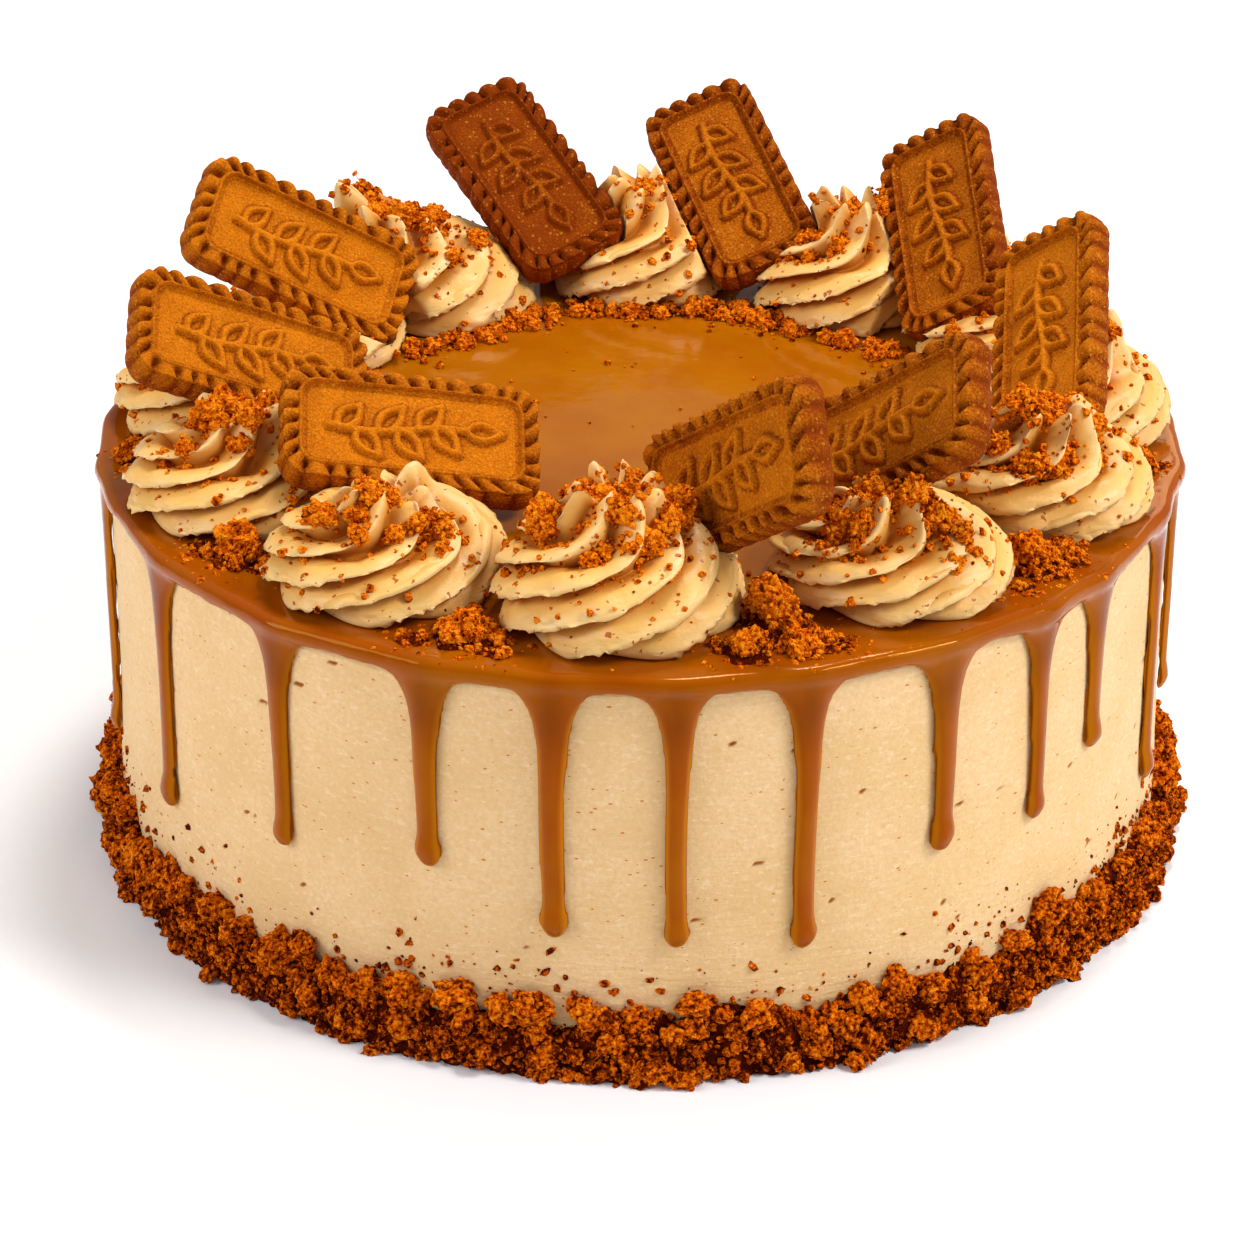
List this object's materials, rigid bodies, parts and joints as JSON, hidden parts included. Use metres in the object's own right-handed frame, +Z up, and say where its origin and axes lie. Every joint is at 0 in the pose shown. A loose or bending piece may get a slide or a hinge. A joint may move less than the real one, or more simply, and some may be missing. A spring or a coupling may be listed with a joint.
{
  "type": "caramel biscuit drip cake",
  "caption": "Tall round buttercream cake with a poured caramel top and side drips, piped cream swirls, upright oblong biscuits and a ring of crumbs at its foot.",
  "frame": {"origin": "middle of the flat underside of the cake", "axes": "+Z up, front of the cake faces -Y, +X to the right as seen from the front"},
  "size_m": [0.2723, 0.2709, 0.1509],
  "materials": {
    "coat": null,
    "cream": null,
    "caramel": null,
    "biscuit": null,
    "crumb": null
  },
  "bodies": {
    "root": {"coated_cake": "coat", "caramel_drip": "caramel", "crumb_border": "crumb", "cream_swirl_01": "cream", "cream_swirl_02": "cream", "cream_swirl_03": "cream", "cream_swirl_04": "cream", "cream_swirl_05": "cream", "cream_swirl_06": "cream", "cream_swirl_07": "cream", "cream_swirl_08": "cream", "cream_swirl_09": "cream", "cream_swirl_10": "cream", "cream_swirl_11": "cream", "cream_swirl_12": "cream", "biscuit_1": "biscuit", "biscuit_2": "biscuit", "biscuit_3": "biscuit", "biscuit_4": "biscuit", "biscuit_5": "biscuit", "biscuit_6": "biscuit", "biscuit_7": "biscuit", "biscuit_8": "biscuit", "biscuit_9": "biscuit"}
  },
  "joints": []
}
